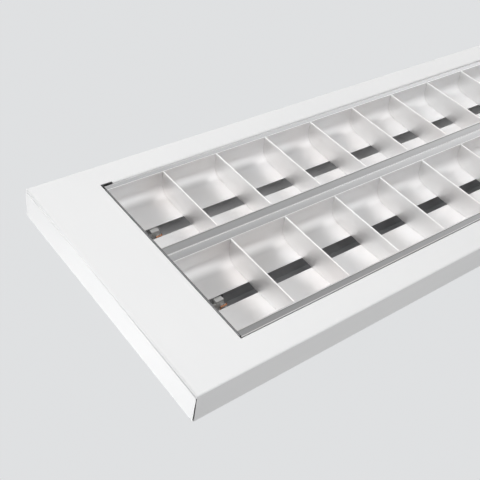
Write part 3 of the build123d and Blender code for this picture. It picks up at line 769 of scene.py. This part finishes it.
def holderPlaces():
    # lampholder numbers with the signs of their end and row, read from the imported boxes
    found = []
    for number in range(1, holder["count"] + 1):
        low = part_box("lampholder_" + str(number))[0]
        found.append((number, 1 if low.x > 0 else -1, 1 if low.y > 0 else -1))
    return found


def makeHolder(number, end, row):
    node = "lampholder_" + str(number)
    piece = newObject("lampholder" + str(number), weldedMesh(node))
    low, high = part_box(node)
    line = row * holder["line"]
    beyond = holder["openBeyond"]
    cutAway(piece, roundedBlock("opening", (low.x - beyond, line + holder["openFrom"], low.z - beyond),
                                (high.x + beyond, line + holder["openTo"], holder["openTop"]),
                                holder["openBevel"], segments=2))
    nearX = low.x if end > 0 else high.x
    tipStart, tipEnd = sorted((nearX, nearX + end * holder["tipLength"]))
    tip = roundedBlock("holderTip", (tipStart, line + holder["tipInset"], holder["tipLow"]),
                       (tipEnd, line + holder["tipFar"], holder["tipTop"]), holder["tipBevel"])
    addShells(piece, [tip], finish=1)
    evenShading(piece)
    # the body is white plastic in grey painted shade, and the tip block is the plastic's own white
    dress(piece, ("holderBody", "holderPlastic"), "housing", "white_plastic", node)


def makeContact(number, end, row):
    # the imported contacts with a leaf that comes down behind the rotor, runs out below it and curls
    node = "holder_contacts_" + str(number)
    piece = newObject("holderContacts" + str(number), weldedMesh(node))
    line = row * holder["line"] + leaf["offset"]
    root, thick, bend, bendSteps = leaf["root"], leaf["thick"], leaf["bend"], leaf["bendSteps"]
    bendCentre = (root - bend + thick, leaf["level"] + bend - thick)
    curlCentre = (leaf["tip"], leaf["level"] - leaf["curl"])
    outline = [(root, leaf["rootTop"])] + arc(*bendCentre, bend - thick, 0, -90, bendSteps)
    outline += arc(*curlCentre, leaf["curl"], 90, leaf["curlEnd"], leaf["curlSteps"])
    outline += arc(*curlCentre, leaf["curl"] - thick, leaf["curlEnd"], 90, leaf["curlSteps"])
    outline += arc(*bendCentre, bend, -90, 0, bendSteps) + [(root + thick, leaf["rootTop"])]
    strip = sweptMesh("contactLeaf", outline, lambda y, u, v: (end * u, y, v),
                      line - leaf["width"] / 2, line + leaf["width"] / 2)
    addShells(piece, [strip])
    evenShading(piece)
    # the leaf's darker copper is painted shade
    dress(piece, "copper", "housing", "contact_copper", node)


for number, end, row in holderPlaces():
    makeHolder(number, end, row)
    makeContact(number, end, row)
print("lampholders made")


# screws and rivets, one head modelled and set on points by a geometry node tree

recess = {"reach": 2.1 * mm, "width": 0.8 * mm, "depth": 1.1 * mm, "bevel": 0.16 * mm}
roundScrew = {"radius": 4.0 * mm, "flat": 0.6 * mm, "rim": 0.7 * mm, "edge": 0.15 * mm, "domeSteps": 7,
              "shank": 1.9 * mm, "point": 0.5 * mm, "pointLength": 1.2 * mm, "underHead": -26 * mm,
              "cornerX": 610.3 * mm}
hexScrew = {"radius": 3.6 * mm, "brimShare": 0.18, "flangeShare": 0.28, "brimStep": 0.25 * mm,
            "hexStep": 0.45 * mm, "groove": 0.02 * mm, "edge": 0.35 * mm, "crown": 0.06 * mm,
            "flat": 0.9 * mm, "hexRings": (3, 4, 5)}
rivet = {"radius": 2.0 * mm, "edge": 0.08 * mm, "seat": 1.95 * mm, "sunk": 0.05 * mm, "shank": 1.1 * mm,
         "length": 1.6 * mm, "domeSteps": 8, "endX": 602 * mm}
headSetting = {"screwSides": 48, "rivetSides": 40, "seed": 5, "anyTurn": 6.28}  # the last in radians
zincDress = ("zincSteel", "housing", "plated_steel")
rivetDress = ("rivetMetal", "louvre", "louvre_aluminium")


def headTree():
    # a head on each point, turned by the point's own angle and a random share of the spread
    tree, given, result = startTree("GeometryNodeTree", "setHeads", [
        geometryInput, ("Head", "NodeSocketObject", None), ("Spread", "NodeSocketFloat", 0.0),
        ("Seed", "NodeSocketInt", 3), ("Material", "NodeSocketMaterial", None),
    ], [geometryOutput])
    head = addNode(tree, "GeometryNodeObjectInfo", {"Object": given.outputs["Head"]})
    turn = addNode(tree, "GeometryNodeInputNamedAttribute", {"Name": "turn"}, data_type="FLOAT")
    chance = addNode(tree, "FunctionNodeRandomValue", {"Seed": given.outputs["Seed"]}, data_type="FLOAT")
    spread = addNode(tree, "ShaderNodeMath", {0: chance.outputs["Value"], 1: given.outputs["Spread"]},
                     operation="MULTIPLY")
    total = addNode(tree, "ShaderNodeMath", {0: turn.outputs[0], 1: spread.outputs[0]}, operation="ADD")
    rotation = addNode(tree, "ShaderNodeCombineXYZ", {"Z": total.outputs[0]})
    copies = addNode(tree, "GeometryNodeInstanceOnPoints", {
        "Points": given.outputs["Geometry"], "Instance": head.outputs["Geometry"],
        "Rotation": rotation.outputs[0],
    })
    finishTree(tree, given, result, copies.outputs["Instances"])
    return tree


def turnedMesh(name, profile, sidesRound, hexRings=()):
    # a profile of (radius, height) turned about Z and closed at both ends, with some rings made hexagons
    sixth = math.pi / 3
    points = [(0, 0, profile[0][1])]
    for ring, (radius, height) in enumerate(profile):
        for step in range(sidesRound):
            angle = 2 * math.pi * step / sidesRound
            reach = radius
            if ring in hexRings:
                reach = radius * math.cos(sixth / 2) / math.cos((angle % sixth) - sixth / 2)
            points.append((reach * math.cos(angle), reach * math.sin(angle), height))
    points.append((0, 0, profile[-1][1]))
    faces = []
    for step in range(sidesRound):
        after = (step + 1) % sidesRound
        faces.append((0, 1 + after, 1 + step))
        for ring in range(len(profile) - 1):
            base = 1 + ring * sidesRound
            faces.append((base + step, base + after, base + sidesRound + after, base + sidesRound + step))
        last = 1 + (len(profile) - 1) * sidesRound
        faces.append((last + step, last + after, len(points) - 1))
    mesh = meshFrom(name, points, faces)
    cleanNormals(mesh)
    return mesh


def dome(flat, radius, low, top, steps):
    # profile points between a head's rim and the flat at its top, without the two ends
    angles = [math.radians(90 * step / steps) for step in range(1, steps)]
    return [(flat + (radius - flat) * math.cos(a), low + (top - low) * math.sin(a)) for a in angles]


def crossCut(piece, top):
    # a cross recess cut down from a head's top
    long, short, depth = recess["reach"], recess["width"] / 2, recess["depth"]
    for halfX, halfY in ((long, short), (short, long)):
        cutAway(piece, roundedBlock("recess", (-halfX, -halfY, top - depth), (halfX, halfY, top + depth),
                                    recess["bevel"], segments=1))


def roundHead(low, top, shankLow):
    # domed head with its shank below
    radius, edge, flat = roundScrew["radius"], roundScrew["edge"], roundScrew["flat"]
    rim = low + roundScrew["rim"]
    profile = [(roundScrew["point"], shankLow), (roundScrew["shank"], shankLow + roundScrew["pointLength"]),
               (roundScrew["shank"], low), (radius - edge, low), (radius, low + edge), (radius, rim)]
    profile += dome(flat, radius, rim, top, roundScrew["domeSteps"]) + [(flat, top)]
    piece = newObject("roundHead", turnedMesh("roundHead", profile, headSetting["screwSides"]))
    crossCut(piece, top)
    return piece


def hexHead(base, tip):
    # flanged hexagon head that hangs from base down to tip
    radius, edge = hexScrew["radius"], hexScrew["edge"]
    hexRadius = radius - hexScrew["hexStep"]
    flangeLevel = base - hexScrew["flangeShare"] * (base - tip)
    profile = [(radius, base), (radius, base - hexScrew["brimShare"] * (base - tip)),
               (radius - hexScrew["brimStep"], flangeLevel), (hexRadius, flangeLevel - hexScrew["groove"]),
               (hexRadius, tip + edge), (hexRadius - edge, tip + hexScrew["crown"]), (hexScrew["flat"], tip)]
    mesh = turnedMesh("hexHead", profile, headSetting["screwSides"], hexScrew["hexRings"])
    piece = newObject("hexHead", mesh)
    crossCut(piece, tip)
    return piece


def rivetHead(height):
    # a dome that faces +Y from the strip's outer side
    radius, edge, shank, sunk = rivet["radius"], rivet["edge"], rivet["shank"], rivet["sunk"]
    profile = [(shank, -rivet["length"]), (shank, -sunk), (rivet["seat"], -sunk), (radius, edge)]
    profile += dome(0, radius, edge, height, rivet["domeSteps"])
    mesh = turnedMesh("rivetHead", profile, headSetting["rivetSides"])
    for vert in mesh.vertices:
        vert.co = (vert.co.x, vert.co.z, vert.co.y)
    cleanNormals(mesh)
    return newObject("rivetHead", mesh)


def setOut(name, node, dressing, head, places, spread=0.0):
    shadeByAngle(head.data, sharpFrom["head"])
    mesh = meshFrom(name, [place[:3] for place in places], [])
    mesh.attributes.new("turn", "FLOAT", "POINT").data.foreach_set("value", [place[3] for place in places])
    piece = newObject(name, mesh)
    runTree(piece, headsTree, {
        "Head": head, "Spread": spread, "Seed": headSetting["seed"], "Material": materials[dressing[0]],
    })
    bpy.data.objects.remove(head)
    dress(piece, *dressing, node)


def makeFrameScrews():
    low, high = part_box("frame_screws")
    sideY, endX = high.y - roundScrew["radius"], high.x - roundScrew["radius"]
    corner = roundScrew["cornerX"]
    places = [(x, y * sideY, 0, 0) for x in (-corner, 0, corner) for y in sides]
    places += [(end * endX, 0, 0, 0) for end in ends]
    head = roundHead(roundScrew["underHead"], high.z, low.z)
    setOut("frameScrews", "frame_screws", zincDress, head, places, headSetting["anyTurn"])


def makeHexScrews(name, node):
    # a pair of screws along the middle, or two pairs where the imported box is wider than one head
    low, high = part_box(node)
    radius = hexScrew["radius"]
    rows = sides if high.y > 2 * radius else (0,)
    rowY = high.y - radius * math.cos(math.pi / 6)
    places = [(x, y * rowY, 0, 0) for x in (low.x + radius, high.x - radius) for y in rows]
    setOut(name, node, zincDress, hexHead(high.z, low.z), places, headSetting["anyTurn"])


def makeRivets():
    low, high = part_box("louvre_rivets")
    side = sizes["louvreHalfWidth"]
    places = [(end * rivet["endX"], way * side, (low.z + high.z) / 2, 0 if way > 0 else math.pi)
              for end in ends for way in sides]
    setOut("louvreRivets", "louvre_rivets", rivetDress, rivetHead(high.y - side), places)


headsTree = headTree()
makeFrameScrews()
makeHexScrews("coverScrews", "cover_screws")
makeHexScrews("ballastScrews", "ballast_screws")
makeRivets()
print("fasteners made")


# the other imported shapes, welded and finished

keptFinish = {
    # the gear cover is white paint, finished in grey as painted shade
    "gear_cover": ("innerPaint", "white_paint"), "ballast_case": ("gearPaint", "gear_case"),
    "ballast_connector_1": ("holderPlastic", "white_plastic"),
    "ballast_connector_2": ("holderPlastic", "white_plastic"),
    "terminal_block": ("terminalPlastic", "terminal_plastic"),
    "cable_grommet": ("grommetRubber", "grommet_rubber"),
    "earth_stud": ("brass", "brass"), "earth_nut": ("brass", "brass"),
}
steelParts = {"hinge_lug": "housing", "hinge_pin": "louvre", "spring_clip": "housing"}


def camel(name):
    first, *rest = name.split("_")
    return first + "".join(word.capitalize() for word in rest)


def finishKept(node, finish, body, slot):
    piece = newObject(camel(node), weldedMesh(node))
    evenShading(piece)
    dress(piece, finish, body, slot, node)


for node, (finish, slot) in keptFinish.items():
    finishKept(node, finish, "housing", slot)
for node in sorted(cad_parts):
    for start, body in steelParts.items():
        if node.startswith(start):
            finishKept(node, "zincSteel", body, "plated_steel")
    if node.startswith("lampholder_rotor"):
        finishKept(node, "rotorPlastic", node.replace("lampholder_", ""), "white_plastic")
print("kept parts finished")


# floor, backdrop, lamps and camera

# floorNear and fadeCentre set a pool of painted shade on the floor
stage = {"floorDrop": 2.2, "floorSize": 24.0, "floorNear": (0.44, 0.44, 0.44), "floorFar": (0.94, 0.94, 0.94),
         "floorRoughness": 0.9, "fadeCentre": (-0.8, 0.7, 0), "nearReach": 0.3, "farReach": 3.2,
         "edgeStart": 3.6, "edgeEnd": 10.8, "backColour": (0.74, 0.75, 0.76), "ambient": 0.41}
lamps = {
    "slotLamp": {"place": (0.9, -1.2, -2.0), "size": (1.0, 1.0), "power": 11.0, "unseen": True},
    "underLamp": {"place": (1.0, 0.1, -2.1), "size": (2.8, 2.8), "power": 24.0},
    "farLeftLamp": {"place": (-2.6, 2.8, -1.4), "size": (3.6, 2.0), "power": 24.0},
    "farRightLamp": {"place": (2.2, 2.2, -1.8), "size": (2.6, 2.0), "power": 9.0},
    "endLamp": {"place": (2.6, 0.3, -0.5), "size": (2.2, 1.6), "power": 13.0},
    "topLamp": {"place": (0.8, 0.9, 2.2), "size": (2.2, 2.2), "power": 36.0},
}
camera = {"place": (0.95836, -0.45219, -0.60308), "azimuth": -44.467, "elevation": 41.520, "roll": -169.483,
          "lens": 60.75, "clipStart": 0.01}


def shownApart(tree, lighting, shown, output):
    # the camera sees one shader, straight or in metal or glass, and all other light meets the other
    path = tree.nodes.new("ShaderNodeLightPath").outputs
    seen = addNode(tree, "ShaderNodeMath", {0: path["Is Camera Ray"], 1: path["Is Glossy Ray"]},
                   operation="ADD")
    through = addNode(tree, "ShaderNodeMath", {0: seen.outputs[0], 1: path["Is Transmission Ray"]},
                      operation="ADD", use_clamp=True)
    mix = addNode(tree, "ShaderNodeMixShader", {
        "Fac": through.outputs[0], 1: lighting.outputs[0], 2: shown.outputs[0],
    })
    feed(tree, tree.nodes[output], {"Surface": mix.outputs[0]})


def makeFloor():
    # painted shade: darker near the shade's centre than around it, as a dark pool for the metal to reflect,
    # and the backdrop's own colour at its edges
    half = stage["floorSize"] / 2
    height = sizes["faceZ"] - stage["floorDrop"]
    corners = [(x * half, y * half, height) for x, y in ((-1, -1), (1, -1), (1, 1), (-1, 1))]
    floor = newObject("floor", meshFrom("floor", corners, [(0, 1, 2, 3)]))
    material, tree, shader = startMaterial("floorPaint")
    offset = addNode(tree, "ShaderNodeVectorMath", {0: objectPlace(tree), 1: stage["fadeCentre"]},
                     operation="SUBTRACT")
    flat = addNode(tree, "ShaderNodeVectorMath", {0: offset.outputs[0], 1: (1, 1, 0)},
                   operation="MULTIPLY")  # without its height
    length = addNode(tree, "ShaderNodeVectorMath", {0: flat.outputs[0]}, operation="LENGTH")
    distance = length.outputs["Value"]
    shadeFade = remap(tree, distance, (stage["nearReach"], stage["farReach"]), (0, 1))
    edgeFade = remap(tree, distance, (stage["edgeStart"], stage["edgeEnd"]), (0, 1),
                     interpolation_type="SMOOTHSTEP")
    inner = mixColours(tree, shadeFade, stage["floorNear"], stage["floorFar"])
    colour = mixColours(tree, edgeFade, inner, stage["backColour"])
    feed(tree, shader, {"Base Color": colour, "Roughness": stage["floorRoughness"]})
    shownApart(tree, shader, addNode(tree, "ShaderNodeEmission", {"Color": colour}), "Material Output")
    floor.data.materials.append(material)


def makeWorld():
    world = bpy.data.worlds.new("studio")
    bpy.context.scene.world = world
    world.use_nodes = True
    tree = world.node_tree
    ambient = tree.nodes["Background"]
    feed(tree, ambient, {"Color": (1, 1, 1, 1), "Strength": stage["ambient"]})
    shown = addNode(tree, "ShaderNodeBackground", {"Color": (*stage["backColour"], 1)})
    shownApart(tree, ambient, shown, "World Output")


def makeLamps():
    # each faces the fixture's middle; metal doesn't reflect an unseen one
    for name, plan in lamps.items():
        light = bpy.data.lights.new(name, "AREA")
        light.shape = "RECTANGLE"
        light.size, light.size_y = plan["size"]
        light.energy = plan["power"]
        lamp = newObject(name, light)
        place = Vector(plan["place"])
        lamp.location = place
        lamp.rotation_mode = "QUATERNION"
        lamp.rotation_quaternion = (-place).to_track_quat("-Z", "Y")
        lamp.visible_camera = False
        lamp.visible_glossy = not plan.get("unseen", False)


def makeCamera():
    # the photograph's own view, from below
    azimuth, elevation = math.radians(camera["azimuth"]), math.radians(camera["elevation"])
    look = Vector((math.sin(azimuth) * math.cos(elevation), math.cos(azimuth) * math.cos(elevation),
                   math.sin(elevation)))
    lens = bpy.data.cameras.new("photoView")
    lens.lens = camera["lens"]
    lens.clip_start = camera["clipStart"]
    view = newObject("photoView", lens)
    view.location = camera["place"]
    view.rotation_mode = "QUATERNION"
    roll = Quaternion((0, 0, 1), math.radians(camera["roll"]))
    view.rotation_quaternion = look.to_track_quat("-Z", "Y") @ roll
    bpy.context.scene.camera = view


makeFloor()
makeWorld()
makeLamps()
makeCamera()
bpy.context.scene.view_settings.view_transform = "Standard"
print("stage set")
